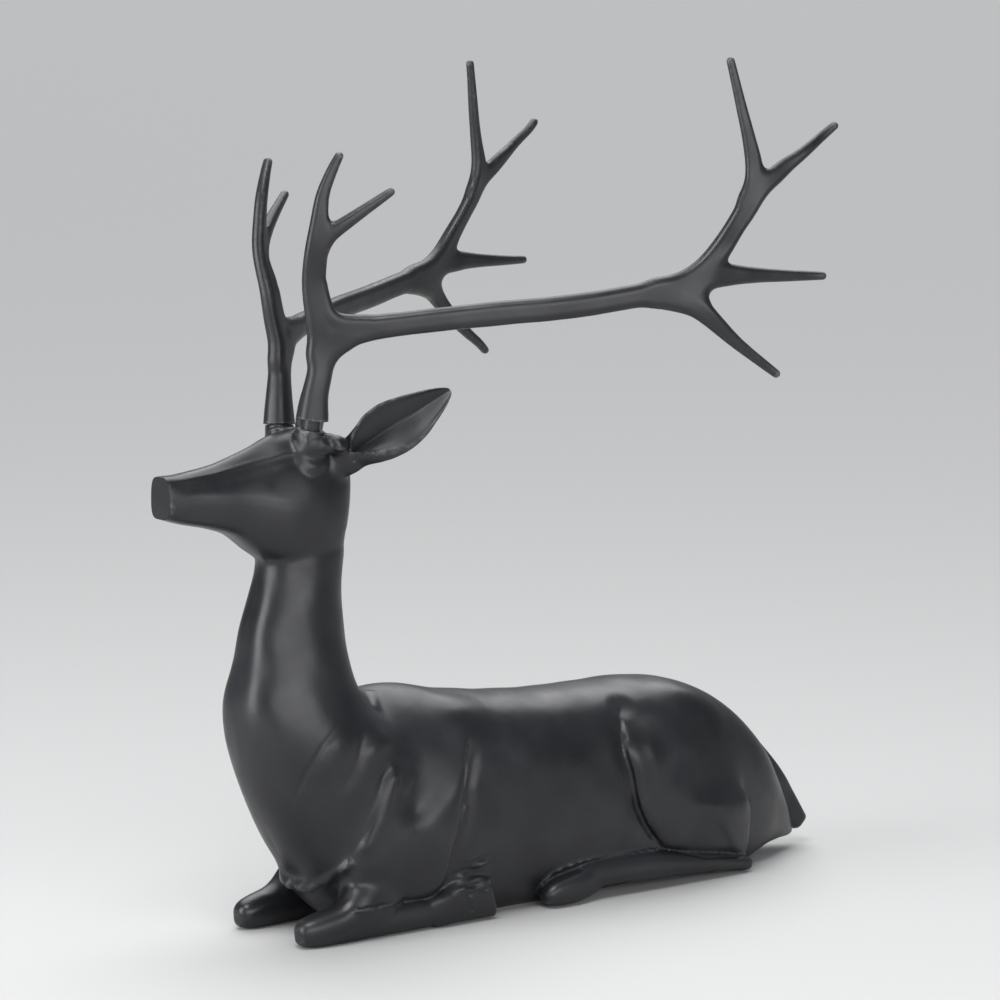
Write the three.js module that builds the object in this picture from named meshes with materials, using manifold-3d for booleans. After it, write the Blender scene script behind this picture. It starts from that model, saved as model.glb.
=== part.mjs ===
// A lying stag with two antlers that plug into its head, cast in metal and painted satin charcoal black.
// Millimetres. The stag faces -X, its left side is -Y and +Z is up.
// The origin is on the ground, under the middle of the stag's length.
// Numbers in the tables are drawn from a point a little behind that middle, and MIDDLE_X moves them onto it.
import * as THREE from "three";
import { mergeVertices } from "three/addons/utils/BufferGeometryUtils.js";
import Module from "manifold-3d";

// Driving dimensions
const NOSE_X = -345.5;
const TAIL_X = 342;
const MIDDLE_X = (NOSE_X + TAIL_X) / 2;
const NOSE_HALF_WIDTH = 11;
const NOSE_TOP = 379;
const NOSE_BOTTOM = 348.5;
const BODY_HALF_WIDTH = 65;
const BODY_TOP = 174;
const SOCKET_X = -216.6;
const SOCKET_Y = 21;
const SOCKET_TOP = 410.3;
const SOCKET_RADIUS = 12;
const HOLE_RADIUS = 7.9;
const HOLE_DEPTH = 24;
const SPIGOT_RADIUS = 7.5;
const SPIGOT_LENGTH = 22;
const LEFT_LIFT = 8.6;
const RIGHT_LIFT = 0.6;
const EAR_LENGTH = 98;
const EAR_HALF_WIDTH = 21;
const CREASE = 5;

// Facets round each kind of form
const BODY_SIDES = 22;
const NECK_SIDES = 20;
const HEAD_SIDES = 16;
const LIMB_SIDES = 10;
const ANTLER_SIDES = 8;
const PIN_SIDES = 12;

const LEFT = -1;
const RIGHT = 1;

const wasm = await Module();
wasm.setup();

const vec = (x, y, z) => new THREE.Vector3(x, y, z);

// The point at t (0 to 1) between rows b and c of a smooth curve that also looks at a and d.
function between(a, b, c, d, t) {
  return b.map((value, i) => {
    const slope0 = (c[i] - a[i]) / 2;
    const slope1 = (d[i] - value) / 2;
    const rise = c[i] - value;
    const cubic = slope0 + slope1 - 2 * rise;
    return value + t * (slope0 + t * (rise - slope0 - cubic + t * cubic));
  });
}

// Rows of numbers, drawn out into a smooth run of rows with a number of steps in each span.
function smooth(rows, steps, closed = false) {
  const n = rows.length;
  const at = (i) => (closed ? rows[(i + n) % n] : rows[Math.min(Math.max(i, 0), n - 1)]);
  const out = [];
  const spans = closed ? n : n - 1;
  for (let i = 0; i < spans; i += 1) {
    for (let s = 0; s < steps; s += 1) {
      out.push(between(at(i - 1), at(i), at(i + 1), at(i + 2), s / steps));
    }
  }
  if (!closed) out.push(rows[n - 1]);
  return out;
}

// Six times the volume inside triangles, negative where they face inwards.
function signedVolume(points, faces) {
  let sum = 0;
  for (const [a, b, c] of faces) {
    sum += points[a].dot(vec(0, 0, 0).crossVectors(points[b], points[c]));
  }
  return sum;
}

// A solid from points and triangles, turned to face outwards.
function solidFrom(points, faces) {
  const flip = signedVolume(points, faces) < 0;
  const index = faces.flatMap(([a, b, c]) => (flip ? [a, c, b] : [a, b, c]));
  return solidOf(new THREE.BufferGeometry().setFromPoints(points).setIndex(index));
}

function solidOf(geometry) {
  geometry.deleteAttribute("normal");
  geometry.deleteAttribute("uv");
  const merged = mergeVertices(geometry, 1e-4);
  const mesh = new wasm.Mesh({
    numProp: 3,
    vertProperties: new Float32Array(merged.attributes.position.array),
    triVerts: new Uint32Array(merged.index.array),
  });
  return new wasm.Manifold(mesh);
}

// A solid skinned over rings with equal numbers of points, each end closed by a fan to its middle.
function loft(rings) {
  const sides = rings[0].length;
  const points = rings.flat();
  const faces = [];
  for (let r = 0; r + 1 < rings.length; r += 1) {
    for (let i = 0; i < sides; i += 1) {
      const a = r * sides + i;
      const b = r * sides + ((i + 1) % sides);
      faces.push([a, b, b + sides], [a, b + sides, a + sides]);
    }
  }
  const middle = (ring) => ring.reduce((sum, p) => sum.add(p), vec(0, 0, 0)).divideScalar(sides);
  const first = points.push(middle(rings[0])) - 1;
  const last = points.push(middle(rings[rings.length - 1])) - 1;
  const end = (rings.length - 1) * sides;
  for (let i = 0; i < sides; i += 1) {
    const j = (i + 1) % sides;
    faces.push([first, j, i], [last, end + i, end + j]);
  }
  return solidFrom(points, faces);
}

// A ring round a centre: an ellipse at power 2, squarer above it, and narrower upwards by the taper.
function ring(centre, across, up, halfAcross, halfUp, sides, power = 2, taper = 0) {
  const out = [];
  for (let i = 0; i < sides; i += 1) {
    const angle = ((i + 0.5) * 2 * Math.PI) / sides;
    const round = (v) => Math.sign(v) * Math.abs(v) ** (2 / power);
    const v = round(Math.sin(angle));
    const u = round(Math.cos(angle)) * (1 - taper * v);
    out.push(centre.clone().addScaledVector(across, u * halfAcross).addScaledVector(up, v * halfUp));
  }
  return out;
}

// A bar along rows of [x, y, z, half width, half height]. Its width lies along a direction that is
// carried along the path without twisting.
function bar(rows, steps, sides, power = 2, wide = vec(0, 1, 0)) {
  const run = smooth(rows, steps);
  const centres = run.map((row) => vec(row[0], row[1], row[2]));
  const across = wide.clone();
  const rings = run.map((row, i) => {
    const before = centres[Math.max(i - 1, 0)];
    const after = centres[Math.min(i + 1, centres.length - 1)];
    const direction = after.clone().sub(before).normalize();
    across.addScaledVector(direction, -across.dot(direction)).normalize();
    const up = vec(0, 0, 0).crossVectors(direction, across);
    return ring(centres[i], across.clone(), up, row[3], row[4], sides, power);
  });
  return loft(rings);
}

// Trunk, from inside the chest to the tail: [x, top, bottom, half width]
const TRUNK = [
  [-222, 160, 40, 30],
  [-190, 182, 12, 48],
  [-149.5, 193.5, -4, 58],
  [-120, 194, -6, 62],
  [-60, 182, -6, BODY_HALF_WIDTH - 1],
  [40, BODY_TOP - 1, -6, BODY_HALF_WIDTH],
  [126, BODY_TOP - 1, -4, BODY_HALF_WIDTH + 1],
  [184, 163, 0, BODY_HALF_WIDTH - 1],
  [230, 140, 5, 54],
  [265, 109, 8, 42],
  [301, 69, 9, 24],
  [326, 37, 9, 13],
  [TAIL_X, 20, 12, 6],
];
const TRUNK_POWER = 2.4;

function trunk() {
  const rings = smooth(TRUNK, 2).map(([x, top, bottom, half]) => {
    const centre = vec(x, 0, (top + bottom) / 2);
    return ring(centre, vec(0, 1, 0), vec(0, 0, 1), half, (top - bottom) / 2, BODY_SIDES, TRUNK_POWER);
  });
  return loft(rings);
}

// Chest and neck, upwards: [z, middle x, half depth, half width]
const NECK = [
  [14, -130, 44, 34],
  [38, -138, 68, 45],
  [63, -149, 83, 52],
  [99, -158, 94, 57],
  [134, -178, 89, 60],
  [160, -195, 79, 59],
  [191, -218, 60, 48],
  [224, -220, 49, 40],
  [256, -218.5, 42.5, 34],
  [288, -214.5, 37, 30],
  [320, -212, 34, 28],
];

function neck() {
  const rings = smooth(NECK, 2).map(([z, x, depth, width]) =>
    ring(vec(x, 0, z), vec(0, 1, 0), vec(1, 0, 0), width, depth, NECK_SIDES),
  );
  return loft(rings);
}

// Tail: a narrow raised ridge down the middle of the rump, [x, y, z, half width, half height]
const TAIL = [
  [232, 0, 128, 4, 6],
  [255, 0, 113, 9, 9],
  [290, 0, 79, 10, 11],
  [318, 0, 42, 9, 10],
  [TAIL_X - 8, 0, 18, 7, 8],
];

function tail() {
  return bar(TAIL, 1, LIMB_SIDES);
}

// Head, backwards from the flat nose: [x, top, bottom, half width, squareness]
const HEAD = [
  [NOSE_X, NOSE_TOP, NOSE_BOTTOM, NOSE_HALF_WIDTH, 4],
  [-330, 380.5, 342.5, 14.5, 3.2],
  [-302, 384.5, 335, 18.5, 2.6],
  [-280, 390, 329, 22, 2.4],
  [-258, 398, 312, 27.5, 2.3],
  [-240, 404.5, 296, 32, 2.2],
  [-221, 407.5, 290.5, 34, 2.2],
  [-203, 407.5, 292, 33, 2.1],
  [-186, 403, 302, 27, 2],
  [-175, 394, 320, 18, 2],
  [-169, 380, 343, 9, 2],
];
const HEAD_TAPER = 0.1;

function head() {
  const rings = smooth(HEAD, 2).map(([x, top, bottom, half, power]) => {
    const centre = vec(x, 0, (top + bottom) / 2);
    const halfHeight = (top - bottom) / 2;
    return ring(centre, vec(0, 1, 0), vec(0, 0, 1), half, halfHeight, HEAD_SIDES, power, HEAD_TAPER);
  });
  return loft(rings);
}

// Direction of an antler's spigot and socket, leaning outwards and a little back.
const socketAxis = (side) => vec(0.0955, side * 0.1246, 0.988).normalize();
const socketTop = (side) => vec(SOCKET_X, side * SOCKET_Y, SOCKET_TOP);

// A round pin along the socket's axis, from one distance above the socket's rim to another.
function pin(side, radius, from, to) {
  const axis = socketAxis(side);
  const geometry = new THREE.CylinderGeometry(radius, radius, to - from, PIN_SIDES);
  geometry.applyQuaternion(new THREE.Quaternion().setFromUnitVectors(vec(0, 1, 0), axis));
  const middle = socketTop(side).addScaledVector(axis, (from + to) / 2);
  geometry.translate(middle.x, middle.y, middle.z);
  return solidOf(geometry);
}

// Ear: a cupped leaf, [part of the length, half width, cup depth, thickness]
const EAR_ROOT = [-192.5, 36, 384];
const EAR_DIRECTION = [0.612, 0.541, 0.571];
const EAR_OPENING = [-0.7, 0.7, 0.05];
const EAR = [
  [-0.16, 8, 0, 14],
  [0.02, 11, 1, 14],
  [0.14, 15, 8, 9],
  [0.3, EAR_HALF_WIDTH - 1, 12, 6],
  [0.48, EAR_HALF_WIDTH, 11, 5],
  [0.68, 17, 8, 4.5],
  [0.86, 9.5, 4, 4],
  [1, 1.5, 0.5, 2.5],
];
const EAR_POINTS = 6;

function ear(side) {
  const along = vec(...EAR_DIRECTION).normalize();
  const opening = vec(...EAR_OPENING);
  opening.addScaledVector(along, -opening.dot(along)).normalize();
  const across = vec(0, 0, 0).crossVectors(along, opening);
  const place = (base, q, depth) => {
    const p = base.clone().addScaledVector(across, q).addScaledVector(opening, depth);
    return vec(p.x, side * p.y, p.z);
  };
  const rings = smooth(EAR, 2).map(([part, half, cup, thick]) => {
    const base = vec(...EAR_ROOT).addScaledVector(along, part * EAR_LENGTH);
    const out = [];
    for (let i = 0; i <= EAR_POINTS; i += 1) {
      const q = -Math.cos((Math.PI * i) / EAR_POINTS);
      out.push(place(base, q * half, -cup * (1 - q * q)));
    }
    for (let i = EAR_POINTS - 1; i > 0; i -= 1) {
      const q = -Math.cos((Math.PI * i) / EAR_POINTS);
      out.push(place(base, q * half, -cup * (1 - q * q) - thick * Math.sqrt(1 - q * q)));
    }
    return out;
  });
  return loft(rings);
}

// How far out the plain trunk and chest reach at a place on the flank.
function flank(x, z) {
  const rows = smooth(TRUNK, 2);
  const next = rows.findIndex((row) => row[0] > x);
  const a = rows[Math.max(next - 1, 0)];
  const b = rows[Math.max(next, 0)];
  const t = next > 0 ? (x - a[0]) / (b[0] - a[0]) : 0;
  const [, top, bottom, half] = a.map((value, i) => value + t * (b[i] - value));
  const off = Math.abs(z - (top + bottom) / 2) / ((top - bottom) / 2);
  const onTrunk = off < 1 ? half * (1 - off ** TRUNK_POWER) ** (1 / TRUNK_POWER) : 0;
  const levels = smooth(NECK, 2);
  const above = levels.findIndex((row) => row[0] > z);
  const [, middle, depth, width] = levels[Math.max(above, 0)];
  const ahead = Math.abs(x - middle) / depth;
  const onChest = ahead < 1 ? width * Math.sqrt(1 - ahead * ahead) : 0;
  return Math.max(onTrunk, onChest);
}

// A raised mass on the flank inside an outline of [x, z, relief at the edge], domed by a few millimetres more.
const PATCH_RINGS = [
  [1, -0.8, 0],
  [0.985, 0.7, 0],
  [0.85, 1, 0.4],
  [0.45, 1, 1],
];

function flankMass(outline, dome, side) {
  const edge = smooth(outline, 2, true);
  const count = edge.length;
  const cx = edge.reduce((sum, row) => sum + row[0], 0) / count;
  const cz = edge.reduce((sum, row) => sum + row[1], 0) / count;
  const inner = edge.map(([x, z]) => {
    const px = cx + (x - cx) * 0.9;
    const pz = cz + (z - cz) * 0.9;
    return vec(px, side * flank(px, pz) * 0.6, pz);
  });
  const rings = PATCH_RINGS.map(([scale, lift, crown]) =>
    edge.map(([x, z, relief]) => {
      const px = cx + (x - cx) * scale;
      const pz = cz + (z - cz) * scale;
      const out = flank(px, pz) + relief * lift - (lift < 0 ? 4 : 0) + dome * crown;
      return vec(px, side * out, pz);
    }),
  );
  return loft([inner, ...rings]);
}

// Thigh: a sharp edge at its front, foot and rear, running out softly over the rump.
const THIGH = [
  [62, 160, 2],
  [72, 133, CREASE],
  [84, 96, CREASE],
  [97, 62, CREASE],
  [113, 38, CREASE],
  [145, 25, CREASE],
  [200, 13, CREASE + 1],
  [221, 10, CREASE + 2],
  [215, 55, CREASE + 2],
  [211, 80, 3],
  [205, 112, 0],
  [165, 148, 0],
  [105, 166, 0],
];

// Shoulder and upper foreleg: a sharp edge at the rear and the elbow.
const SHOULDER = [
  [-92, 150, 2],
  [-92, 118, CREASE],
  [-97, 88, CREASE],
  [-106, 58, CREASE],
  [-110, 36, CREASE],
  [-130, 24, CREASE],
  [-165, 26, CREASE + 2],
  [-196, 34, CREASE + 8],
  [-199, 58, CREASE + 7],
  [-186, 84, CREASE + 2],
  [-170, 116, 2],
  [-156, 150, 0],
  [-125, 170, 0],
];

// Folded foreleg, [x, y, z, half width, half height]: the forearm runs forward and down to the knee.
const FOREARM = [
  [-150, 47, 40, 16, 22],
  [-185, 46, 30, 15, 19],
  [-206, 45, 19, 14, 14],
  [-228, 43, 14, 13, 13],
  [-240, 42, 11, 11, 11],
  [-245, 42, 10, 7, 7],
];
// The shin lies on the ground from the knee back to the hoof.
const SHIN = [
  [-246, 42, 11, 6, 6],
  [-238, 42, 12, 11, 12],
  [-215, 43, 12, 12, 13],
  [-160, 45, 13, 12, 13],
  [-112, 47, 14, 12, 13],
];
// Hooves are wedges: high where they meet the leg and low at the toe.
const FORE_HOOF = [
  [-118, 47, 13, 11, 13],
  [-94, 48, 18, 13, 16],
  [-68, 49, 16, 12, 15],
  [-54, 50, 5, 8, 5],
];
const HIND_SHANK = [
  [228, 52, 6, 6, 4],
  [206, 53, 10, 11, 7],
  [170, 53, 14.5, 13, 9],
  [110, 53, 21, 14, 13],
  [60, 52, 22, 13, 12.5],
  [34, 52, 18, 12, 13],
];
const HIND_HOOF = [
  [44, 52, 18, 11, 14],
  [22, 53, 14, 14, 13],
  [5, 54, 12, 12, 11],
  [-5, 55, 10, 9, 7],
];

const onSide = (rows, side) => rows.map(([x, y, ...rest]) => [x, side * y, ...rest]);

function legs(side) {
  return [
    flankMass(THIGH, 4, side),
    flankMass(SHOULDER, 3, side),
    bar(onSide(FOREARM, side), 1, LIMB_SIDES, 2.2),
    bar(onSide(SHIN, side), 1, LIMB_SIDES, 2.4),
    bar(onSide(FORE_HOOF, side), 1, LIMB_SIDES, 3),
    bar(onSide(HIND_SHANK, side), 1, LIMB_SIDES, 2.4),
    bar(onSide(HIND_HOOF, side), 1, LIMB_SIDES, 3),
  ];
}

const join = (solids) => solids.reduce((whole, solid) => whole.add(solid));

// Everything of the stag but its antlers is one casting, cut off flat where it rests on the ground.
function body() {
  const sockets = [LEFT, RIGHT].map((side) => pin(side, SOCKET_RADIUS, -20, 0));
  const sides = [LEFT, RIGHT].flatMap((side) => [...legs(side), ear(side)]);
  const whole = join([trunk(), neck(), tail(), head(), ...sides, ...sockets]);
  const ground = new THREE.BoxGeometry(1000, 400, 100);
  ground.translate(0, 0, -50);
  const holes = [LEFT, RIGHT].map((side) => pin(side, HOLE_RADIUS, -HOLE_DEPTH, 5));
  return [solidOf(ground), ...holes].reduce((rest, cut) => rest.subtract(cut), whole);
}

// Antler lines, measured from the rim of the socket with the antler fully home. Each antler is flattened:
// [x, y out, z, half thickness, half breadth]
const BURR = [SOCKET_X, SOCKET_Y, SOCKET_TOP + RIGHT_LIFT, 12.4, 12.6];
const MAIN_FORK = [-211.3, 27.5, 467, 8.2, 11];
const BROW_FORK = [-221.5, 39, 558, 5.2, 7.8];
const CROWN = [56, 168.5, 510.5, 7, 13];
const TOP_FORK = [112.8, 178, 587.5, 5.4, 10];
const BASE_LINE = [BURR, [-215, 23.8, 432, 9.8, 10.5], [-212.2, 26.8, 450, 8.5, 10.2], MAIN_FORK];
const BROW_LINE = [MAIN_FORK, [-214, 27, 490, 6.8, 9.8], [-219.5, 30.5, 513, 6, 9.4], [-221.6, 35, 536, 5.5, 9.2]];
const BROW_TIP = [[-219.3, 41, 585, 4.8, 5.2], [-212.9, 44.2, 605, 4, 4.3], [-206.5, 47.5, 620.5, 2.9, 3]];
const BROW_SPUR = [[-210.9, 47, 559.4, 5.4, 6.2], [-201.5, 54, 567.9, 4.8, 5.1], [-172.4, 71, 590.7, 2.7, 2.8]];
const BEAM_ROOT = [[-211.3, 27.5, 464, 8, 17], [-202.6, 33, 473, 7.6, 13], [-190, 42, 479.5, 7, 10.8]];
const BEAM = [[-153.8, 68, 486.3, 6.4, 9.4], [-99, 100, 492.3, 6.4, 9.5], [-10, 147, 501.5, 6.4, 9.4], CROWN];
const CROWN_STEM = [CROWN, [70.4, 172, 528.9, 5.6, 10.4], [86, 174.8, 550, 4.8, 8.2], [102, 177, 571.8, 4.8, 8.8]];
const TINE_A = [TOP_FORK, [109.6, 176.5, 605.9, 5, 7.2], [105.4, 175, 626, 4.6, 5.4], [91.6, 166, 691.6, 2.7, 2.7]];
const TINE_B = [TOP_FORK, [127.3, 181, 596.8, 5, 7.2], [145, 184, 609, 4.6, 5.4], [186.3, 191.5, 637.7, 2.8, 2.8]];
const TINE_C = [CROWN, [80.3, 173, 518.9, 6, 9.4], [97, 176, 518.7, 5.4, 7.2], [175.4, 192, 515.1, 2.8, 2.8]];
const TINE_D = [[44, 166, 508, 6.5, 12], [55.8, 172, 493.6, 6, 8.8], [90.2, 180.5, 463.5, 4.6, 4.9], [127.6, 187, 436.5, 2.6, 2.6]];
// The curved lines are drawn out smooth, and the short ones run straight from row to row.
const CURVED = [[...BROW_LINE, BROW_FORK], [...BEAM_ROOT, ...BEAM]];
const STRAIGHT = [
  BASE_LINE,
  [...CROWN_STEM, TOP_FORK],
  [BROW_FORK, ...BROW_TIP],
  [BROW_FORK, ...BROW_SPUR],
  TINE_A,
  TINE_B,
  TINE_C,
  TINE_D,
];
// The flat of an antler faces outwards and forwards.
const ANTLER_FLAT = [-0.5, 0.87, 0];

// A branch with a rounded end, lifted with its antler.
function branch(rows, steps, side, rise) {
  const placed = smooth(rows, steps).map(([x, y, z, ...half]) => [x + rise.x, side * y + rise.y, z + rise.z, ...half]);
  const point = ([x, y, z]) => vec(x, y, z);
  const [previous, last] = placed.slice(-2);
  const [thick, broad] = last.slice(3);
  const tip = point(last).addScaledVector(point(last).sub(point(previous)).normalize(), thick * 0.8);
  placed.push([tip.x, tip.y, tip.z, thick * 0.45, broad * 0.45]);
  const [x, y, z] = ANTLER_FLAT;
  return bar(placed, 1, ANTLER_SIDES, 2, vec(x, side * y, z));
}

function antler(side, lift) {
  const rise = socketAxis(side).multiplyScalar(lift - RIGHT_LIFT);
  const branches = [
    ...CURVED.map((rows) => branch(rows, 2, side, rise)),
    ...STRAIGHT.map((rows) => branch(rows, 1, side, rise)),
  ];
  const spigot = pin(side, SPIGOT_RADIUS, lift - SPIGOT_LENGTH, lift + 5);
  return join([...branches, spigot]);
}

function material(colour) {
  return new THREE.MeshStandardMaterial({ color: colour, roughness: 0.42, metalness: 0.25 });
}

function meshOf(name, solid, colour) {
  const { vertProperties, triVerts } = solid.getMesh();
  const geometry = new THREE.BufferGeometry();
  geometry.setAttribute("position", new THREE.BufferAttribute(vertProperties, 3));
  geometry.setIndex(new THREE.BufferAttribute(triVerts, 1));
  geometry.computeVertexNormals();
  const mesh = new THREE.Mesh(geometry, material(colour));
  mesh.name = name;
  mesh.position.x = -MIDDLE_X;
  return mesh;
}

const CHARCOAL = 0x3c3e40;

const stag = new THREE.Group();
stag.add(meshOf("deer_body", body(), CHARCOAL));
stag.add(meshOf("antler_left", antler(LEFT, LEFT_LIFT), CHARCOAL));
stag.add(meshOf("antler_right", antler(RIGHT, RIGHT_LIFT), CHARCOAL));

export default stag;
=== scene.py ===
"""A lying stag with two plug-in antlers, cast in metal and painted satin charcoal black.

Forms are drawn in millimetres, from a point a little behind the stag's middle. The stag faces -X,
its left side is -Y and +Z is up. Everything is put into metres, and onto the middle, as it becomes a mesh.
"""
import math

import bpy
import numpy as np
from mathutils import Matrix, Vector


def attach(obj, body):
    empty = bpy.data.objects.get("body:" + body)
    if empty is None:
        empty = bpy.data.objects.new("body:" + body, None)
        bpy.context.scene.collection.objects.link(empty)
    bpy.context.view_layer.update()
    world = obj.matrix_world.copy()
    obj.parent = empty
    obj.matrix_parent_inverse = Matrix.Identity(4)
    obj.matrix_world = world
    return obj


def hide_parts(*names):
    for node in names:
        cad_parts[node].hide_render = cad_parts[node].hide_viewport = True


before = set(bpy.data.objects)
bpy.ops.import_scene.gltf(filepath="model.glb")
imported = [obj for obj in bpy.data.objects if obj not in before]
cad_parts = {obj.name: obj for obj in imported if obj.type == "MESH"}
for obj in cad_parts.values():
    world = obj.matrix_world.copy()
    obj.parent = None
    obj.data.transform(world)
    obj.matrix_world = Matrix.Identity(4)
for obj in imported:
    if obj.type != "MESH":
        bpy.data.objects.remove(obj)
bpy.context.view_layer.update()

MM = 0.001
LEFT = -1
RIGHT = 1
FORWARD_REACH = -345.5
REAR_REACH = 342.0
MIDDLE_X = (FORWARD_REACH + REAR_REACH) / 2
MIDDLE = np.array([MIDDLE_X, 0, 0])
# The flat cut at the end of the nose
NOSE_CUT = FORWARD_REACH + 0.2

# Sizes of the grid that each casting is skinned on, and the share of its faces that the body keeps
BODY_GRAIN = 1.35
ANTLER_GRAIN = 1.25
DECIMATE_SHARE = 0.315
# Above this many degrees between two faces their edge stays sharp
SHARP_ANGLE = 45


# Curves and rings

# How fast a narrowed section draws in towards its top
TAPER_POWER = 1.3


def smooth_rows(rows, steps, closed=False):
    """Rows of numbers drawn out into a smooth run, with a number of steps in each span."""
    rows = np.array(rows, dtype=float)
    count = len(rows)
    spans = count if closed else count - 1
    index = np.arange(spans)

    def at(offset):
        where = index + offset
        return rows[where % count] if closed else rows[np.clip(where, 0, count - 1)]

    before, start, end, after = at(-1), at(0), at(1), at(2)
    slope_in = (end - before) / 2
    slope_out = (after - start) / 2
    rise = end - start
    cubic = slope_in + slope_out - 2 * rise
    t = (np.arange(steps) / steps)[None, :, None]
    square = (rise - slope_in - cubic)[:, None]
    run = start[:, None] + t * (slope_in[:, None] + t * (square + t * cubic[:, None]))
    run = run.reshape(-1, rows.shape[1])
    return run if closed else np.vstack([run, rows[-1:]])


def unit(vector):
    vector = np.array(vector, dtype=float)
    return vector / np.linalg.norm(vector)


def ring(centre, across, up, half_across, half_up, sides, power=2.0, taper=0.0):
    """An ellipse at power 2, squarer above it, with its upper half narrowed by the taper."""
    angle = (np.arange(sides) + 0.5) * 2 * math.pi / sides
    rise = np.sign(np.sin(angle)) * np.abs(np.sin(angle)) ** (2 / power)
    side = np.sign(np.cos(angle)) * np.abs(np.cos(angle)) ** (2 / power)
    side *= 1 - taper * np.maximum(rise, 0) ** TAPER_POWER
    return (
        np.array(centre, dtype=float)
        + (side * half_across)[:, None] * np.array(across)
        + (rise * half_up)[:, None] * np.array(up)
    )


def new_object(name, points, faces):
    mesh = bpy.data.meshes.new(name)
    placed = (np.array(points) - MIDDLE) * MM
    mesh.from_pydata(placed.tolist(), [], faces)
    piece = bpy.data.objects.new(name, mesh)
    bpy.context.collection.objects.link(piece)
    return piece


def select_only(pieces):
    bpy.ops.object.select_all(action="DESELECT")
    for piece in pieces:
        piece.select_set(True)
    bpy.context.view_layer.objects.active = pieces[0]


def face_outwards(piece):
    select_only([piece])
    bpy.ops.object.mode_set(mode="EDIT")
    bpy.ops.mesh.select_all(action="SELECT")
    bpy.ops.mesh.remove_doubles(threshold=1e-6)
    bpy.ops.mesh.normals_make_consistent(inside=False)
    bpy.ops.object.mode_set(mode="OBJECT")


def loft(name, rings):
    """A closed skin over rings with equal numbers of points, each end closed by one face."""
    rings = np.array(rings)
    count, sides, _ = rings.shape
    start = np.arange(count - 1)[:, None] * sides
    here = np.arange(sides)[None, :]
    ahead = (here + 1) % sides
    quads = np.stack([start + here, start + ahead, start + ahead + sides, start + here + sides], axis=-1)
    faces = quads.reshape(-1, 4).tolist()
    faces.append(list(range(sides))[::-1])
    faces.append(list(range((count - 1) * sides, count * sides)))
    piece = new_object(name, rings.reshape(-1, 3), faces)
    face_outwards(piece)
    return piece


def bar(name, rows, steps, sides, power=2.0, wide=(0, 1, 0)):
    """A bar along rows of [x, y, z, half width, half height]. Its width is carried along without twisting."""
    run = smooth_rows(rows, steps)
    centres = run[:, :3]
    across = unit(wide)
    rings = []
    for i, row in enumerate(run):
        direction = unit(centres[min(i + 1, len(run) - 1)] - centres[max(i - 1, 0)])
        across = unit(across - np.dot(across, direction) * direction)
        up = np.cross(direction, across)
        rings.append(ring(row[:3], across, up, row[3], row[4], sides, power))
    return loft(name, rings)


def on_side(rows, side):
    rows = np.array(rows, dtype=float)
    rows[:, 1] *= side
    return rows


# Trunk, neck, tail and head

# [x, top, bottom, half width]
TRUNK = [
    [-222, 160, 40, 30],
    [-190, 182, 12, 48],
    [-149.5, 193.5, -4, 58],
    [-120, 194, -6, 62],
    [-60, 182, -6, 64],
    [40, 173, -6, 65],
    [126, 173, -4, 66],
    [184, 163, -5, 64],
    [230, 138, -7, 54],
    [256, 114, 0, 46],
    [276, 89, 6, 36],
    [296, 57, 9, 24.5],
    [309, 31, 9.5, 15],
    [317, 18, 11, 8],
]
TRUNK_POWER = 2.4

# [z, middle x, half depth, half width]
NECK = [
    [14, -130, 44, 34],
    [38, -138, 68, 45],
    [63, -149, 83, 52],
    [99, -158, 94, 57],
    [134, -178, 89, 60],
    [160, -195, 79, 59],
    [191, -219.3, 58.7, 48],
    [224, -221.7, 47.3, 40],
    [256, -220.3, 41.2, 34],
    [288, -215.5, 36.5, 30],
    [320, -211, 36, 29],
]
NECK_POWER = 2.15

# [x, y, z, half width, half height]
TAIL = [
    [222, 0, 131, 4, 6],
    [247, 0, 113, 8, 11],
    [283, 0, 76, 10, 14.5],
    [311, 0, 41, 9.5, 13.5],
    [331.5, 0, 19, 8, 8.5],
]
TAIL_POWER = 2.6

# [x, top, bottom, half width, squareness, narrowing to the top]
HEAD = [
    [FORWARD_REACH - 2, 379, 348.5, 11, 4.5, 0.1],
    [-343, 379.6, 347.6, 11.8, 4.5, 0.12],
    [-330, 380.5, 343.5, 14.5, 3.4, 0.3],
    [-302, 384.5, 336, 18.5, 3.0, 0.48],
    [-280, 390, 329, 22, 2.8, 0.54],
    [-258, 398, 313, 27.5, 2.6, 0.52],
    [-240, 404.5, 301, 32, 2.5, 0.42],
    [-221, 407.5, 297, 33.5, 2.4, 0.26],
    [-203, 407.5, 298, 32.5, 2.3, 0.16],
    [-187, 403, 305, 27.5, 2.2, 0.08],
    [-177.5, 396, 320, 19, 2.1, 0],
    [-171.5, 382, 340, 9, 2, 0],
]


def trunk():
    rings = []
    for x, top, bottom, half in smooth_rows(TRUNK, 6):
        centre = (x, 0, (top + bottom) / 2)
        rings.append(ring(centre, (0, 1, 0), (0, 0, 1), half, (top - bottom) / 2, 96, TRUNK_POWER))
    return loft("trunk", rings)


def neck():
    rings = [
        ring((x, 0, z), (0, 1, 0), (1, 0, 0), width, depth, 80, NECK_POWER)
        for z, x, depth, width in smooth_rows(NECK, 6)
    ]
    return loft("neck", rings)


def head():
    rings = []
    for x, top, bottom, half, power, taper in smooth_rows(HEAD, 6):
        centre = (x, 0, (top + bottom) / 2)
        rings.append(ring(centre, (0, 1, 0), (0, 0, 1), half, (top - bottom) / 2, 72, power, taper))
    return loft("head", rings)


# A rough lump between each socket and ear: [x, y, z, half width, half height]
CROWN_LUMP = [[-212, 24, 398, 6, 6], [-205, 27, 399, 8, 7.5], [-199, 31, 398, 8, 7.5], [-192, 35, 396, 7, 7]]


# Ears: a rolled root growing out of the skull, opening into a leaf with a sharp fold along it

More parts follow.
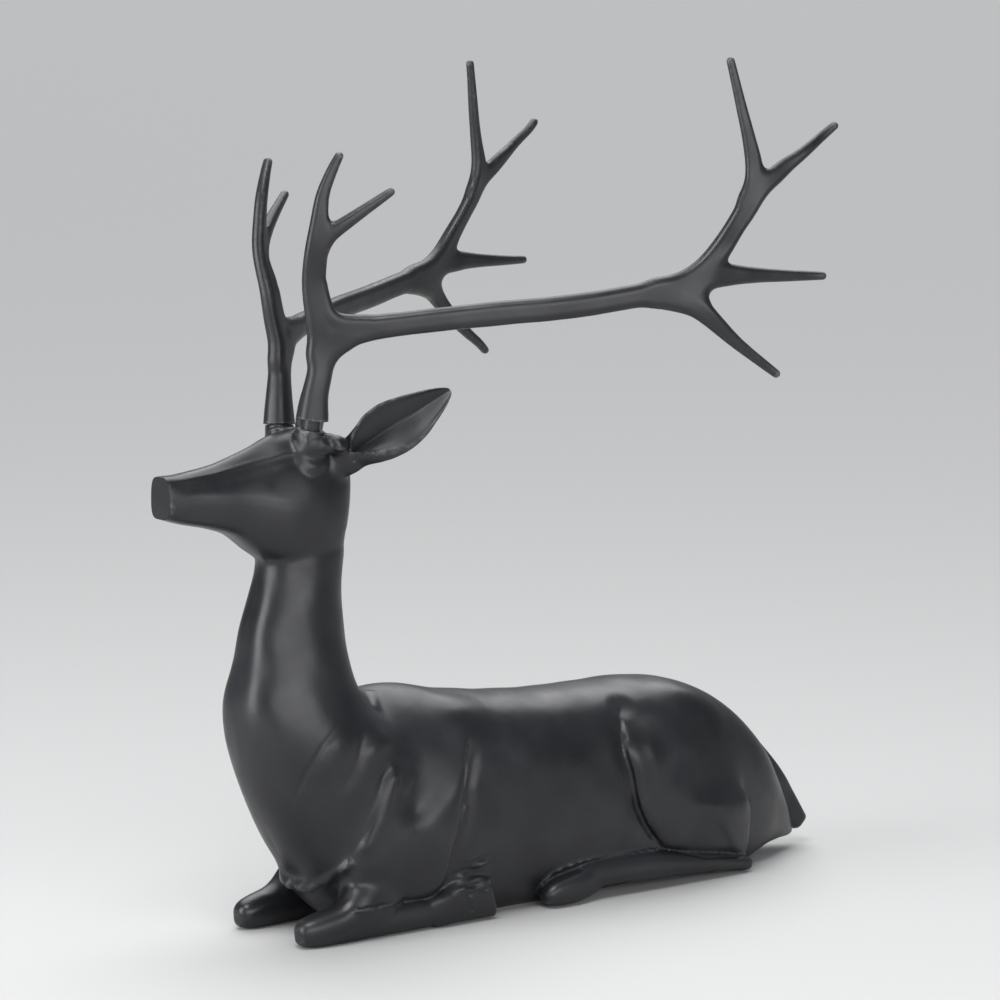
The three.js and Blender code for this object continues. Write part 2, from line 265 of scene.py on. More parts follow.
EAR_ROOT = np.array((-192.5, 36, 384))
EAR_ALONG = unit((0.612, 0.541, 0.571))
EAR_OPENING = (-0.7, 0.7, 0.05)
EAR_LENGTH = 99.5
EAR_FOLD = 0.08
EAR_ROLL = 9
# [part of the length, half width, shift upwards, depth of the cup, thickness,
#  how far it opens below the fold, how far above]
EAR = [
    [-0.16, 10, 3, 0, 9, 0.02, 0.02],
    [-0.06, 13, 3.2, 0, 10, 0.02, 0.02],
    [0.02, 14, 3.1, 0, 10, 0.02, 0.02],
    [0.07, 13.8, 3, 0.5, 9.5, 0.05, 0.2],
    [0.11, 14, 2.7, 5, 9, 0.2, 0.5],
    [0.16, 15.4, 2.3, 8, 8, 0.38, 0.8],
    [0.23, 17.8, 1.9, 9.5, 7, 0.58, 0.96],
    [0.33, 20.9, 2, 10.5, 6, 0.76, 0.98],
    [0.48, 22, 1.2, 10.5, 5, 0.93, 0.98],
    [0.64, 18.9, 0, 9, 4.5, 0.98, 0.98],
    [0.78, 14, 0, 6.5, 4.2, 0.98, 0.98],
    [0.9, 9, 0, 4, 3.8, 0.98, 0.98],
    [0.97, 5, 0, 2, 3.2, 0.98, 0.98],
    [1, 2.4, 0, 0.6, 2.4, 0.98, 0.98],
]
EAR_STEPS = 30
# Where the cup below the fold begins to turn up, how much it turns, and what brings its depth to one
EAR_TURN_FROM = 0.35
EAR_TURN = 0.615
EAR_TURN_DEPTH = 0.74
# The rolled rim: its share of the cup's depth, the deepest cup it follows, its place and its width
EAR_RIM_SHARE = 0.35
EAR_RIM_CUP = 4.0
EAR_RIM_PLACE = 0.92
EAR_RIM_WIDTH = 0.1
# How much rounder the back is than the thickness alone, and the least thickness
EAR_BACK = 1.6
EAR_LEAST = 0.4
# The root fused into the skull: where it ends, and how much thinner it is
EAR_ROOT_END = 0.1
EAR_ROOT_FULLNESS = 0.93


def ear(name, side, until=1.0, fullness=1.0):
    """An ear, or only its root, a little thinner, for the skull to grow around."""
    opening = np.array(EAR_OPENING)
    opening = unit(opening - np.dot(opening, EAR_ALONG) * EAR_ALONG)
    across = np.cross(EAR_ALONG, opening)
    s = np.linspace(-1, 1, EAR_STEPS + 1)
    q = np.sin(math.pi / 2 * (0.45 * s + 0.55 * s**3))
    off = np.abs(q - EAR_FOLD)
    span = np.where(q < EAR_FOLD, 1 + EAR_FOLD, 1 - EAR_FOLD)
    rings = []
    for part, half, shift, cup, thick, below, above in smooth_rows(EAR, 5):
        if part > until:
            break
        open_to = span * np.clip(np.where(q < EAR_FOLD, below, above), 0.02, 0.98)
        t = np.clip(off / open_to, 0, 1)
        lower = 1 - (t - EAR_TURN * np.maximum(t - EAR_TURN_FROM, 0) ** 2) / EAR_TURN_DEPTH
        hollow = -cup * np.where(q < EAR_FOLD, lower, (1 - t) ** 1.2)
        from_rim = (off / open_to - EAR_RIM_PLACE) / EAR_RIM_WIDTH
        rolled = EAR_RIM_SHARE * min(cup, EAR_RIM_CUP) * np.exp(-(from_rim**2))
        drop = EAR_ROLL * (1 - open_to / span)
        front = hollow + rolled - drop * np.clip((off - open_to) / (span - open_to), 0, 1) ** 2
        round_back = np.sqrt(np.maximum(1 - q**2, 0))
        back = -cup * (1 - q**2) - (thick + EAR_BACK) * round_back - EAR_LEAST - drop * q**2
        middle = EAR_ROOT + EAR_ALONG * part * EAR_LENGTH + across * shift
        wide = np.outer(q * half, across)
        skin = np.vstack([wide + np.outer(front, opening), (wide + np.outer(back, opening))[::-1][1:-1]])
        rings.append(middle + skin * fullness)
    rings = np.array(rings)
    rings[:, :, 1] *= side
    return loft(name, rings)


# Raised masses on the flank: the thigh and the shoulder

def profile_at(rows, place):
    """Each column of smooth rows, read at places along the first column."""
    run = smooth_rows(rows, 6)
    return [np.interp(place, run[:, 0], run[:, i]) for i in range(1, run.shape[1])]


def flank(x, z):
    """How far out the plain trunk and chest reach at places on the flank."""
    top, bottom, half = profile_at(TRUNK, x)
    off = np.clip(np.abs(z - (top + bottom) / 2) / ((top - bottom) / 2), 0, 1)
    on_trunk = half * (1 - off**TRUNK_POWER) ** (1 / TRUNK_POWER)
    middle, depth, width = profile_at(NECK, z)
    ahead = np.clip(np.abs(x - middle) / depth, 0, 1)
    on_chest = width * (1 - ahead**NECK_POWER) ** (1 / NECK_POWER)
    return np.maximum(on_trunk, on_chest)


# [x, z, relief at the edge, crispness of the edge]
THIGH = [
    [88, 158, 0, 0],
    [79, 140, 3, 0],
    [77, 122, 5, 0.3],
    [81, 104, 5.5, 0.3],
    [84, 90, 5.5, 0.2],
    [87, 76, 6, 0.2],
    [95, 61, 6, 0.2],
    [108, 46, 6, 0.2],
    [122, 35, 6, 0.2],
    [147, 25, 5, 0.2],
    [200, 12, 7, 0.6],
    [216, 6, 9, 0.9],
    [222.5, 5.5, 9.5, 1],
    [220.5, 14, 9.5, 1],
    [216, 36, 9.5, 1],
    [213, 52, 9.5, 1],
    [210, 66, 8, 0.8],
    [206, 82, 2, 0.2],
    [200, 114, -1.5, 0],
    [165, 148, -2, 0],
    [110, 162, -1.5, 0],
]
SHOULDER = [
    [-84, 155, 1, 0],
    [-92, 136, 4.5, 0],
    [-99, 113, 7, 0.1],
    [-104, 85, 8, 0.2],
    [-110, 65, 8, 0.2],
    [-111, 46, 7, 0.2],
    [-116, 32, 6, 0.2],
    [-130, 25, 6, 0],
    [-165, 26, 7, 0],
    [-194, 34, 10, 0],
    [-202, 50, 10, 0],
    [-200, 64, 9, 0],
    [-196, 80, 8, 0],
    [-191, 96, 7, 0],
    [-186, 114, 5.5, 0],
    [-180, 131, 3, 0],
    [-171, 146, 0, 0],
    [-152, 160, -1.5, 0],
    [-125, 168, -2, 0],
]
# [scale of the outline, share of the edge's relief, share of the dome]
MASS_RINGS = [
    [1.0, -0.9, 0],
    [0.998, 0.15, 0],
    [0.985, 0.45, 0.02],
    [0.95, 0.7, 0.12],
    [0.88, 0.9, 0.32],
    [0.75, 1, 0.6],
    [0.55, 1, 0.85],
    [0.3, 1, 0.97],
    [0.08, 1, 1],
]
THIGH_DOME = 4
SHOULDER_DOME = 3.5
# The hidden core of a mass: its share of the outline, and of the flank's reach
CORE_SCALE = 0.9
CORE_REACH = 0.6
# How deep the outermost ring sinks into the flank, and how abruptly a crisp edge rises
EDGE_SUNK = 4.0
CRISP_POWER = 6


def flank_mass(name, outline, dome, side):
    edge = smooth_rows(outline, 8, closed=True)
    middle = edge[:, :2].mean(axis=0)
    core = middle + (edge[:, :2] - middle) * CORE_SCALE
    rings = [np.stack([core[:, 0], flank(core[:, 0], core[:, 1]) * CORE_REACH, core[:, 1]], axis=1)]
    for scale, lift, crown in smooth_rows(MASS_RINGS, 3):
        spot = middle + (edge[:, :2] - middle) * scale
        sunk = np.where(lift < 0, EDGE_SUNK, 0.0)
        crisp = np.where(lift < 0, lift, 1 - (1 - np.clip(lift, 0, 1)) ** CRISP_POWER)
        raised = lift + (crisp - lift) * np.clip(edge[:, 3], 0, 1)
        out = flank(spot[:, 0], spot[:, 1]) + edge[:, 2] * raised - sunk + dome * crown
        rings.append(np.stack([spot[:, 0], out, spot[:, 1]], axis=1))
    rings = np.array(rings)
    rings[:, :, 1] *= side
    return loft(name, rings)


# Folded legs, each a run of bars: [x, y, z, half width, half height]

FOREARM = [
    [-136, 38, 50, 10, 14],
    [-160, 43, 40, 14, 20],
    [-185, 46, 30, 15, 19],
    [-206, 45, 19, 14, 14],
    [-228, 43, 14, 13, 13],
    [-238, 42, 12, 11.5, 12],
    [-244, 42, 10, 9, 9],
    [-247, 42, 10, 5, 5],
]
SHIN = [
    [-247, 42, 11, 5, 5],
    [-244, 42, 11.5, 9, 9],
    [-236, 42, 12, 12, 12],
    [-215, 43, 12, 12.5, 13],
    [-160, 45, 13, 12, 13],
    [-112, 47, 14, 12, 13],
]
FORE_HOOF = [
    [-122, 47, 13, 11, 13],
    [-108, 48, 16, 12.5, 15.5],
    [-94, 48, 20, 13, 18.5],
    [-70, 49, 20.5, 13, 18.5],
    [-62, 49, 19.8, 13, 18.3],
    [-57, 49, 19, 12.9, 18],
    [-54.5, 49, 18.6, 12.2, 17.4],
]
HIND_SHANK = [
    [223.5, 55, 5.5, 6, 4],
    [222, 54.5, 6, 8, 5],
    [218, 54, 7, 9.5, 6],
    [206, 53, 9.5, 11, 7],
    [170, 53, 14.5, 13, 9],
    [110, 53, 21, 14, 13],
    [60, 52, 22, 13, 12.5],
    [34, 52, 18, 12, 13],
]
HIND_HOOF = [
    [48, 52, 19, 11, 13],
    [24, 53, 14, 14, 13],
    [5, 54, 12, 12.5, 11],
    [-3, 55, 10, 10, 8],
    [-7, 55, 9, 6, 5],
]


LEG_SIDES = 40
# [name, rows, steps in each span, squareness]
LEG_BARS = [
    ["forearm", FOREARM, 5, 2.2],
    ["shin", SHIN, 5, 2.3],
    ["fore_hoof", FORE_HOOF, 4, 3.6],
    ["hind_shank", HIND_SHANK, 5, 2.4],
    ["hind_hoof", HIND_HOOF, 4, 2.8],
]
# The fore hoof's end leans back by this share of its height, from nothing at one x to all at the next
HOOF_SLANT = 0.42
SLANT_FROM = -84
SLANT_TO = -60


def slanted(hoof):
    """Leans the end of the fore hoof back, more the higher it stands."""
    for vertex in hoof.data.vertices:
        place = (vertex.co.x / MM + MIDDLE_X - SLANT_FROM) / (SLANT_TO - SLANT_FROM)
        vertex.co.x -= HOOF_SLANT * vertex.co.z * min(max(place, 0), 1)
    return hoof


def legs(side):
    pieces = [
        flank_mass("thigh", THIGH, THIGH_DOME, side),
        flank_mass("shoulder", SHOULDER, SHOULDER_DOME, side),
    ]
    for name, rows, steps, power in LEG_BARS:
        limb = bar(name, on_side(rows, side), steps, LEG_SIDES, power)
        pieces.append(slanted(limb) if name == "fore_hoof" else limb)
    return pieces


# Sockets and spigots

SOCKET_TOP = (-216.6, 21, 410.3)
SOCKET_AXIS = unit((0.0955, 0.1246, 0.988))
COLLAR_RADIUS = 11.5
COLLAR_DEPTH = 9
COLLAR_ROUNDING = 1.2
HOLE_RADIUS = 7.9
HOLE_DEPTH = 24
SPIGOT_RADIUS = 7.5
SPIGOT_LENGTH = 22
# How far the bore's tool stands past the socket, and the spigot into its antler
OVERLAP = 6
# How high each antler stands on its spigot
LIFT = {LEFT: 8.6, RIGHT: 0.6}

# Boss that carries each socket: [height against the socket's top, radius]
BOSS = [[-26, 3], [-18, 7.5], [-11, 11], [-6, 12.5], [-3.5, 12.5], [-2, 11]]


def boss(side):
    rows = [[*(np.array(SOCKET_TOP) + SOCKET_AXIS * height), size, size] for height, size in BOSS]
    return bar("boss", on_side(rows, side), 3, 40)


def pin(name, side, radius, low, high, rounding=0.0):
    """A round pin along the socket's axis, its top edge broken by a small rounding."""
    mirrored = np.array([1, side, 1])
    axis = SOCKET_AXIS * mirrored
    top = np.array(SOCKET_TOP) * mirrored
    across = unit(np.cross(axis, (0, 1, 0)))
    up = np.cross(axis, across)
    steps = [(low, radius), (high - rounding, radius)]
    if rounding:
        steps += [(high - 0.3 * rounding, radius - 0.3 * rounding), (high, radius - rounding)]
    rings = [ring(top + axis * height, across, up, size, size, 48) for height, size in steps]
    return loft(name, rings)


# Skinning and shaping

def apply_modifier(piece, kind, **settings):
    select_only([piece])
    modifier = piece.modifiers.new(kind.lower(), kind)
    for key, value in settings.items():
        setattr(modifier, key, value)
    bpy.ops.object.modifier_apply(modifier=modifier.name)


def fuse(name, pieces, grain):
    """One closed skin over overlapping pieces."""
    select_only(pieces)
    bpy.ops.object.join()
    whole = bpy.context.view_layer.objects.active
    whole.name = name
    whole.data.name = name
    apply_modifier(whole, "REMESH", mode="VOXEL", voxel_size=grain * MM, use_smooth_shade=True)
    return whole


def points_of(piece):
    """The piece's points in drawn millimetres, both sides of the stag folded onto +Y, and their sides."""
    flat = np.empty(len(piece.data.vertices) * 3)
    piece.data.vertices.foreach_get("co", flat)
    points = flat.reshape(-1, 3) / MM + MIDDLE
    sides = np.where(points[:, 1] < 0, -1.0, 1.0)
    points[:, 1] = np.abs(points[:, 1])
    return points, sides


def normals_of(piece, sides):
    flat = np.empty(len(piece.data.vertices) * 3)
    piece.data.vertex_normals.foreach_get("vector", flat)
    normals = flat.reshape(-1, 3)
    normals[:, 1] *= sides
    return normals


def put_back(piece, points, sides):
    placed = points.copy()
    placed[:, 1] *= sides
    placed = (placed - MIDDLE) * MM
    piece.data.vertices.foreach_set("co", placed.ravel())
    piece.data.update()


SOFT_LEVELS = 40


def relax(piece, weights, rounds, factor=0.5):
    """Smooths a piece where the weights are, in fine steps."""
    group = piece.vertex_groups.new(name="soft")
    levels = np.round(np.clip(weights, 0, 1) * SOFT_LEVELS).astype(int)
    for level in range(1, SOFT_LEVELS + 1):
        chosen = np.nonzero(levels == level)[0]
        if len(chosen):
            group.add(chosen.tolist(), level / SOFT_LEVELS, "REPLACE")
    apply_modifier(piece, "SMOOTH", factor=factor, iterations=rounds, vertex_group="soft")
    piece.vertex_groups.remove(piece.vertex_groups["soft"])


def ramp(value, low, high):
    """0 below low, 1 above high, smooth between."""
    t = np.clip((value - low) / (high - low), 0, 1)
    return t * t * (3 - 2 * t)


def near(points, centre, radius, core):
    """1 about a place and 0 at a radius from it, with the core the share of the radius that stays 1."""
    distance = np.linalg.norm(points - np.array(centre), axis=1)
    return 1 - ramp(distance, radius * core, radius)


def line_distance(points, line):
    """Distance from points to a line, how far along it they are, and its length."""
    line = np.array(line, dtype=float)
    best = np.full(len(points), 1e9)
    along = np.zeros(len(points))
    travelled = 0.0
    for a, b in zip(line[:-1], line[1:]):
        length = np.linalg.norm(b - a)
        t = np.clip((points - a) @ (b - a) / length**2, 0, 1)
        distance = np.linalg.norm(points - a - t[:, None] * (b - a), axis=1)
        closer = distance < best
        best = np.where(closer, distance, best)
        along = np.where(closer, travelled + t * length, along)
        travelled += length
    return best, along, travelled


def stroke(points, line, width, fade):
    """1 on a line and falling off to its sides and ends."""
    distance, along, length = line_distance(points, line)
    ends = np.minimum(ramp(along, 0, fade), ramp(length - along, 0, fade))
    return np.exp(-((distance / width) ** 2)) * ends


def waves(points, length, seed):
    """A soft uneven swell between about -1 and 1."""
    rng = np.random.default_rng(seed)
    total = np.zeros(len(points))
    for _ in range(6):
        direction = unit(rng.normal(size=3)) * 2 * math.pi / (length * rng.uniform(0.7, 1.5))
        total += np.sin(points @ direction + rng.uniform(0, 2 * math.pi))
    return total / 3


# Lines worked into the body, each a run of [x, y out, z]

THIGH_FRONT = np.array([
    [90, 40, 162], [81, 50, 150], [76, 57, 140], [75, 62, 123], [79, 65, 106],
    [82, 66, 90], [86, 66, 75], [94, 65, 61], [107, 62, 46], [121, 59, 36],
])
THIGH_FOOT = [[121, 59, 35], [145, 63, 27], [164, 65, 21], [210, 60, 14]]
THIGH_REAR = np.array([[210, 66, 66], [213, 67, 52], [216, 67, 36], [221.5, 64, 6]])
ARM_REAR = np.array([
    [-83, 55, 156], [-90, 61, 138], [-98, 64, 114], [-102, 66, 85], [-108, 66, 66],
    [-109, 64, 46], [-114, 60, 32], [-126, 57, 26],
])
ARM_CREST = [
    [-161, 60, 141], [-168, 60, 128], [-174, 60, 115], [-180, 60, 97], [-186, 57, 83], [-194, 52, 69],
]
ARM_GROOVE = [
    [-169, 61, 145], [-177, 60, 131], [-183, 58, 114], [-188, 54, 94], [-194, 49, 78], [-200, 44, 67],
]
ARM_SMALL_RIDGE = [[-144, 60, 138], [-151, 62, 127], [-158, 63, 114]]
ELBOW_FOLD = [[-92, 64, 103], [-97, 65, 86], [-104, 68, 72]]
FOREARM_RIDGE = [[-190, 52, 58], [-197, 50, 48], [-206, 47, 35]]
FOREARM_HOLLOW = [[-199, 42, 60], [-208, 38, 48], [-216, 36, 36], [-224, 35, 26]]
NECK_LINE = [[-205, 50, 186], [-219, 54, 174], [-231, 54, 163], [-242, 46, 141], [-246, 31, 112]]
NECK_BULGE = [[-203, 55, 176], [-218, 57, 164], [-228, 54, 146], [-237, 45, 131]]
SECOND_VALLEY = [[-186, 52, 177], [-195, 58, 161], [-206, 58, 138], [-218, 52, 118]]
SECOND_BULGE = [[-160, 50, 167], [-182, 60, 157], [-195, 60, 145]]
WITHERS_STREAK = [[-150, 8, 194], [-158, 25, 188], [-166, 38, 181]]
HIP_LINE = [[128, 32, 169], [151, 36, 163], [172, 40, 154], [204, 50, 124]]
SHIN_BEAD = [[-206, 58, 27], [-193, 61, 28], [-176, 61, 28], [-153, 57, 27], [-138, 57, 26]]
HIND_BEAD = [
    [-7, 50, 15], [-5, 52, 22], [3, 55, 29], [14, 57, 33],
    [35, 59, 36], [60, 61, 36], [94, 60, 35], [118, 59, 34],
]
HOOF_LINE = [[-69, 62, 27], [-80, 62, 26.5], [-91, 61, 25], [-89, 61, 18], [-86, 61, 8]]
BRISKET = [[-196, 50, 68], [-202, 43, 60], [-207, 36, 53], [-214, 25, 45], [-219, 14, 41], [-221, 0, 41]]
JAW_CREASE = [
    [-252, 6, 309], [-248, 15, 307], [-230, 28, 310], [-204, 29, 313], [-189, 25, 315], [-174, 0, 316],
]
NECK_CORNER = [[-247, 8, 296], [-257, 10, 261], [-268, 15, 207], [-270, 18, 176], [-264, 18, 147]]

# From the brow edge to the hollow line below it
BROW_DROP = (0, 3, -6)


def brow_edges():
    """The corner between the head's top and its side, and a hollow line a little below it."""
    edge = []
    for x, top, bottom, half, power, taper in HEAD[1:8]:
        corner = 0.5 ** (1 / power)
        high = (top + bottom) / 2 + corner * (top - bottom) / 2
        edge.append([x, corner * half * (1 - taper * corner**TAPER_POWER), high])
    return np.array(edge), np.array(edge) + BROW_DROP


BROW, BELOW_BROW = brow_edges()

# Lines pressed in or raised: [line, height, width, fade towards its ends]
STROKES = [
    [THIGH_FRONT - np.array([4, 0, 0]), -1.8, 7, 24],
    [THIGH_FRONT, -0.7, 2, 16],
    [THIGH_FRONT[5:], -1.8, 2.4, 16],
    [THIGH_FRONT[2:] + np.array([2.8, 1.5, 1]), 0.5, 1.8, 20],
    [THIGH_FRONT + np.array([14, 3, 3]), -1, 7, 30],
    [THIGH_FOOT, -1.2, 2, 10],
    [THIGH_REAR, 0.8, 1.6, 6],
    [THIGH_REAR + np.array([6, -8, 0]), -1.8, 3.4, 6],
    [HIP_LINE, 2, 14, 30],
    [ARM_REAR, -3.4, 2.6, 16],
    [ARM_REAR + np.array([6, 0, 0]), -2.6, 7, 24],
    [ELBOW_FOLD, 1.4, 2.2, 8],
    [ARM_CREST, 3, 5, 14],
    [ARM_GROOVE, -2.2, 3.2, 16],
    [ARM_SMALL_RIDGE, 1.6, 4.5, 12],
    [FOREARM_RIDGE, 1.4, 7, 10],
    [FOREARM_HOLLOW, -1.6, 7, 10],
    [NECK_LINE, -1, 2.4, 26],
    [NECK_BULGE, 2.4, 10, 24],
    [SECOND_VALLEY, -2.4, 7, 24],
    [SECOND_BULGE, 2, 9, 16],
    [WITHERS_STREAK, 1.4, 5, 8],
    [NECK_CORNER, 1, 9, 20],
    [JAW_CREASE, -0.8, 5, 4],
    [BROW, 0.6, 2.2, 12],
    [BELOW_BROW, -0.7, 4.5, 16],
    [HOOF_LINE, -1.3, 1.6, 4],
]
# Lines of uneven height: [line, height, width, fade, uneven share, length of its waves, seed]
UNEVEN_STROKES = [
    [BRISKET, 3.4, 4.4, 6, 0.2, 12, 4],
    [SHIN_BEAD, 1.5, 1.7, 6, 0.5, 5, 3],
    [HIND_BEAD, 1.5, 1.7, 6, 0.5, 5, 3],
]
# Swells and dents, of the thigh, the hip, the withers, the shoulder blade, and round the socket's
# lower end, where the skull is thinnest: [place, height, radius, core]
SWELLS = [
    [(104, 70, 124), 3, 34, 0.1],
    [(87, 42, 157), -2.4, 17, 0.1],
    [(-130, 35, 181), -2.4, 38, 0.05],
    [(-82, 46, 168), 4.4, 40, 0.1],
    [(-218, 27, 389.5), 3.4, 18, 0.4],
]
# Lumpy places over the fore hoof and on the crown, fading in between two heights:
# [place, height, radius, core, lower height, upper height, length of the lumps, seed]
LUMPY_PLACES = [
    [(-82, 57, 38), 1.2, 26, 0.5, 27, 31, 8, 6],
    [(-202, 31, 401), 0.8, 19, 0.5, 390, 396, 8, 5],
]
# Above the legs, between these heights, the skin begins to stand out a little
TRUNK_FROM = 46
TRUNK_TO = 62
TRUNK_SWELL = 0.8
# Broad unevenness: its height, length and seed, the heights it fades in between, and how far it is
# held back on the upper arm
BROAD_HEIGHT = 0.45
BROAD_LENGTH = 46
BROAD_SEED = 7
BROAD_LEVEL = (20, 60)
ARM_CALM = 0.8
UPPER_ARM = [(-130, 64, 100), 62, 0.5]

# Rounds of smoothing: over all, between the masses, and in the creases
FIRST_ROUNDS = 6
MASS_ROUNDS = 330
MASS_SHARE = 0.9
CREASE_ROUNDS = 120
# No smoothing nearer than this to a sharp line, and all of it from this distance on
KEEP_NEAR = 3
KEEP_FAR = 22
# Where that smoothing ends: up the neck, from the tail's start backwards, and beside the tail
SOFT_TOP = (225, 250)
TAIL_START = (236, 250)
TAIL_SIDE = (16, 26)
TAIL_KEPT = 0.85
# Places where two masses meet at the withers, the socket, the arm and along the jaw: [place, radius, core]
CREASES = [
    [(-162, 0, 198), 46, 0.5],
    [(-196, 36, 384), 26, 0.6],
    [(-219, 28, 392), 24, 0.6],
    [(-136, 66, 99), 32, 0.5],
    [(-247, 14, 306), 20, 0.4],
    [(-229, 27, 308), 20, 0.4],
    [(-203, 28, 310), 20, 0.4],
    [(-182, 18, 312), 20, 0.4],
    [(-172, 4, 318), 20, 0.4],
]
# Creases kept to one side of a level: before the socket, above the shin's bead and below it
SOCKET_FRONT = [(-208, 30, 404), 16, 0.5]
SOCKET_LEVEL = (206, 214)
ABOVE_BEAD = [[(-152, 56, 42), 22, 0.4], [(-176, 58, 38), 22, 0.4], [(-196, 50, 34), 22, 0.4]]
ABOVE_LEVEL = (26, 34)
BELOW_BEAD = [[(-188, 56, 17), 16, 0.5], [(-172, 57, 16), 16, 0.5]]
BELOW_LEVEL = (22, 26)


def between_masses(points):
    """How far the masses run into one another at each point: not on sharp lines, and little by the tail."""
    x, y, z = points.T
    sharp = np.zeros(len(points))
    for line in (THIGH_FRONT[2:], THIGH_REAR, ARM_REAR[1:], HIND_BEAD, SHIN_BEAD):
        distance, _, _ = line_distance(points, line)
        sharp = np.maximum(sharp, 1 - ramp(distance, KEEP_NEAR, KEEP_FAR) ** 2)
    on_trunk = ramp(z, TRUNK_FROM, TRUNK_TO) * (1 - ramp(z, *SOFT_TOP))
    off_tail = 1 - TAIL_KEPT * ramp(x, *TAIL_START) * (1 - ramp(y, *TAIL_SIDE))
    return on_trunk * (1 - sharp) * off_tail


def in_creases(points):
    """How far each point lies in a crease that is to be smoothed."""
    x, _, z = points.T
    spots = [near(points, *crease) for crease in CREASES]
    spots.append(near(points, *SOCKET_FRONT) * ramp(-x, *SOCKET_LEVEL))
    spots += [near(points, *crease) * ramp(z, *ABOVE_LEVEL) for crease in ABOVE_BEAD]
    spots += [near(points, *crease) * (1 - ramp(z, *BELOW_LEVEL)) for crease in BELOW_BEAD]
    return np.max(spots, axis=0)


def soften_body(body):
    """Runs the masses into one another, as a modeller's thumb would, away from the sharp lines."""
    points, _ = points_of(body)
    relax(body, np.ones(len(points)), FIRST_ROUNDS)
    relax(body, between_masses(points) * MASS_SHARE, MASS_ROUNDS)
    points, _ = points_of(body)
    relax(body, in_creases(points), CREASE_ROUNDS)


def work_lines(body):
    """Presses the folds and ridges into the casting."""
    points, sides = points_of(body)
    normals = normals_of(body, sides)
    z = points[:, 2]
    change = TRUNK_SWELL * ramp(z, TRUNK_FROM, TRUNK_TO)
    for line, height, width, fade in STROKES:
        change += height * stroke(points, line, width, fade)
    for line, height, width, fade, uneven, length, seed in UNEVEN_STROKES:
        change += height * stroke(points, line, width, fade) * (1 + uneven * waves(points, length, seed))
    for place, height, radius, core in SWELLS:
        change += height * near(points, place, radius, core)
    for place, height, radius, core, low, high, length, seed in LUMPY_PLACES:
        lumps = ramp(z, low, high) * waves(points, length, seed)
        change += height * near(points, place, radius, core) * lumps
    calm = 1 - ARM_CALM * near(points, *UPPER_ARM)
    change += BROAD_HEIGHT * waves(points, BROAD_LENGTH, BROAD_SEED) * ramp(z, *BROAD_LEVEL) * calm
    points += normals * change[:, None]
    put_back(body, points, sides)


def slice_off(piece, place, normal):
    """Cuts a piece off flat and keeps the part that the normal points into."""
    select_only([piece])
    bpy.ops.object.mode_set(mode="EDIT")
    bpy.ops.mesh.select_all(action="SELECT")
    where = (np.array(place) - MIDDLE) * MM
    bpy.ops.mesh.bisect(plane_co=where, plane_no=normal, use_fill=True, clear_inner=True)
    bpy.ops.object.mode_set(mode="OBJECT")


def combine(piece, tool, operation):
    apply_modifier(piece, "BOOLEAN", operation=operation, solver="EXACT", object=tool)
    bpy.data.objects.remove(tool)


def finish_mesh(piece):
    select_only([piece])
    bpy.ops.object.mode_set(mode="EDIT")
    bpy.ops.mesh.select_all(action="SELECT")
    bpy.ops.mesh.remove_doubles(threshold=1e-5)
    bpy.ops.mesh.normals_make_consistent(inside=False)
    bpy.ops.mesh.quads_convert_to_tris()
    bpy.ops.object.mode_set(mode="OBJECT")
    bpy.ops.object.shade_smooth_by_angle(angle=math.radians(SHARP_ANGLE))


def build_body():
    pieces = [trunk(), neck(), bar("tail", TAIL, 6, 40, TAIL_POWER), head()]
    for side in (LEFT, RIGHT):
        pieces += legs(side)
        pieces.append(ear("ear_root", side, EAR_ROOT_END, EAR_ROOT_FULLNESS))
        pieces.append(bar("crown_lump", on_side(CROWN_LUMP, side), 4, 24))
        pieces.append(boss(side))
    body = fuse("stag_body", pieces, BODY_GRAIN)
    soften_body(body)
    work_lines(body)
    apply_modifier(body, "DECIMATE", ratio=DECIMATE_SHARE)
    slice_off(body, (0, 0, 0), (0, 0, 1))
    slice_off(body, (NOSE_CUT, 0, 0), (1, 0, 0))
    for side in (LEFT, RIGHT):
        combine(body, ear("ear_leaf", side), "UNION")
        combine(body, pin("collar", side, COLLAR_RADIUS, -COLLAR_DEPTH, 0, COLLAR_ROUNDING), "UNION")
        combine(body, pin("bore", side, HOLE_RADIUS, -HOLE_DEPTH, OVERLAP), "DIFFERENCE")
    finish_mesh(body)
    return body


# Antlers, cast flat: rows of [x, y out, z, half thickness, half breadth] with the antler fully home

ANTLER_ALONG = unit((0.87, 0.5, 0))
ANTLER_FACE = unit((-0.5, 0.87, 0))
SIZE_SPREAD = 9
EDGE_SHARE = 1.15
SEAT = (-216.6, 21, 410.9)
BROW_STEM = [
    [-217.6, 20, 402, 12.6, 12.8],
    [-216.6, 21.4, 411, 12.4, 12.5],
    [-216, 22.4, 421, 11, 11.4],
    [-215, 23.8, 432, 9.8, 10.4],
    [-212.2, 26.4, 450, 8.5, 10],
    [-211.3, 26.8, 467, 7.8, 10.8],
    [-214.2, 26, 490, 6.8, 9.8],
    [-219.7, 29, 513, 6, 9.4],
    [-221.9, 33.6, 536, 5.5, 9.2],
    [-221.7, 37.8, 558, 5.2, 8],
    [-219.6, 40, 585, 4.8, 5.3],
    [-213.2, 43.6, 605, 4.1, 4.3],
    [-207.8, 46.6, 617.5, 3.4, 3.4],
]
BROW_SPUR = [
    [-219, 41, 550, 4.9, 4.5],
    [-211.5, 46.5, 559.8, 4.9, 5.8],
    [-201.5, 54, 568.8, 4.5, 5.1],
    [-175, 69.6, 589.6, 3.2, 3.2],
]
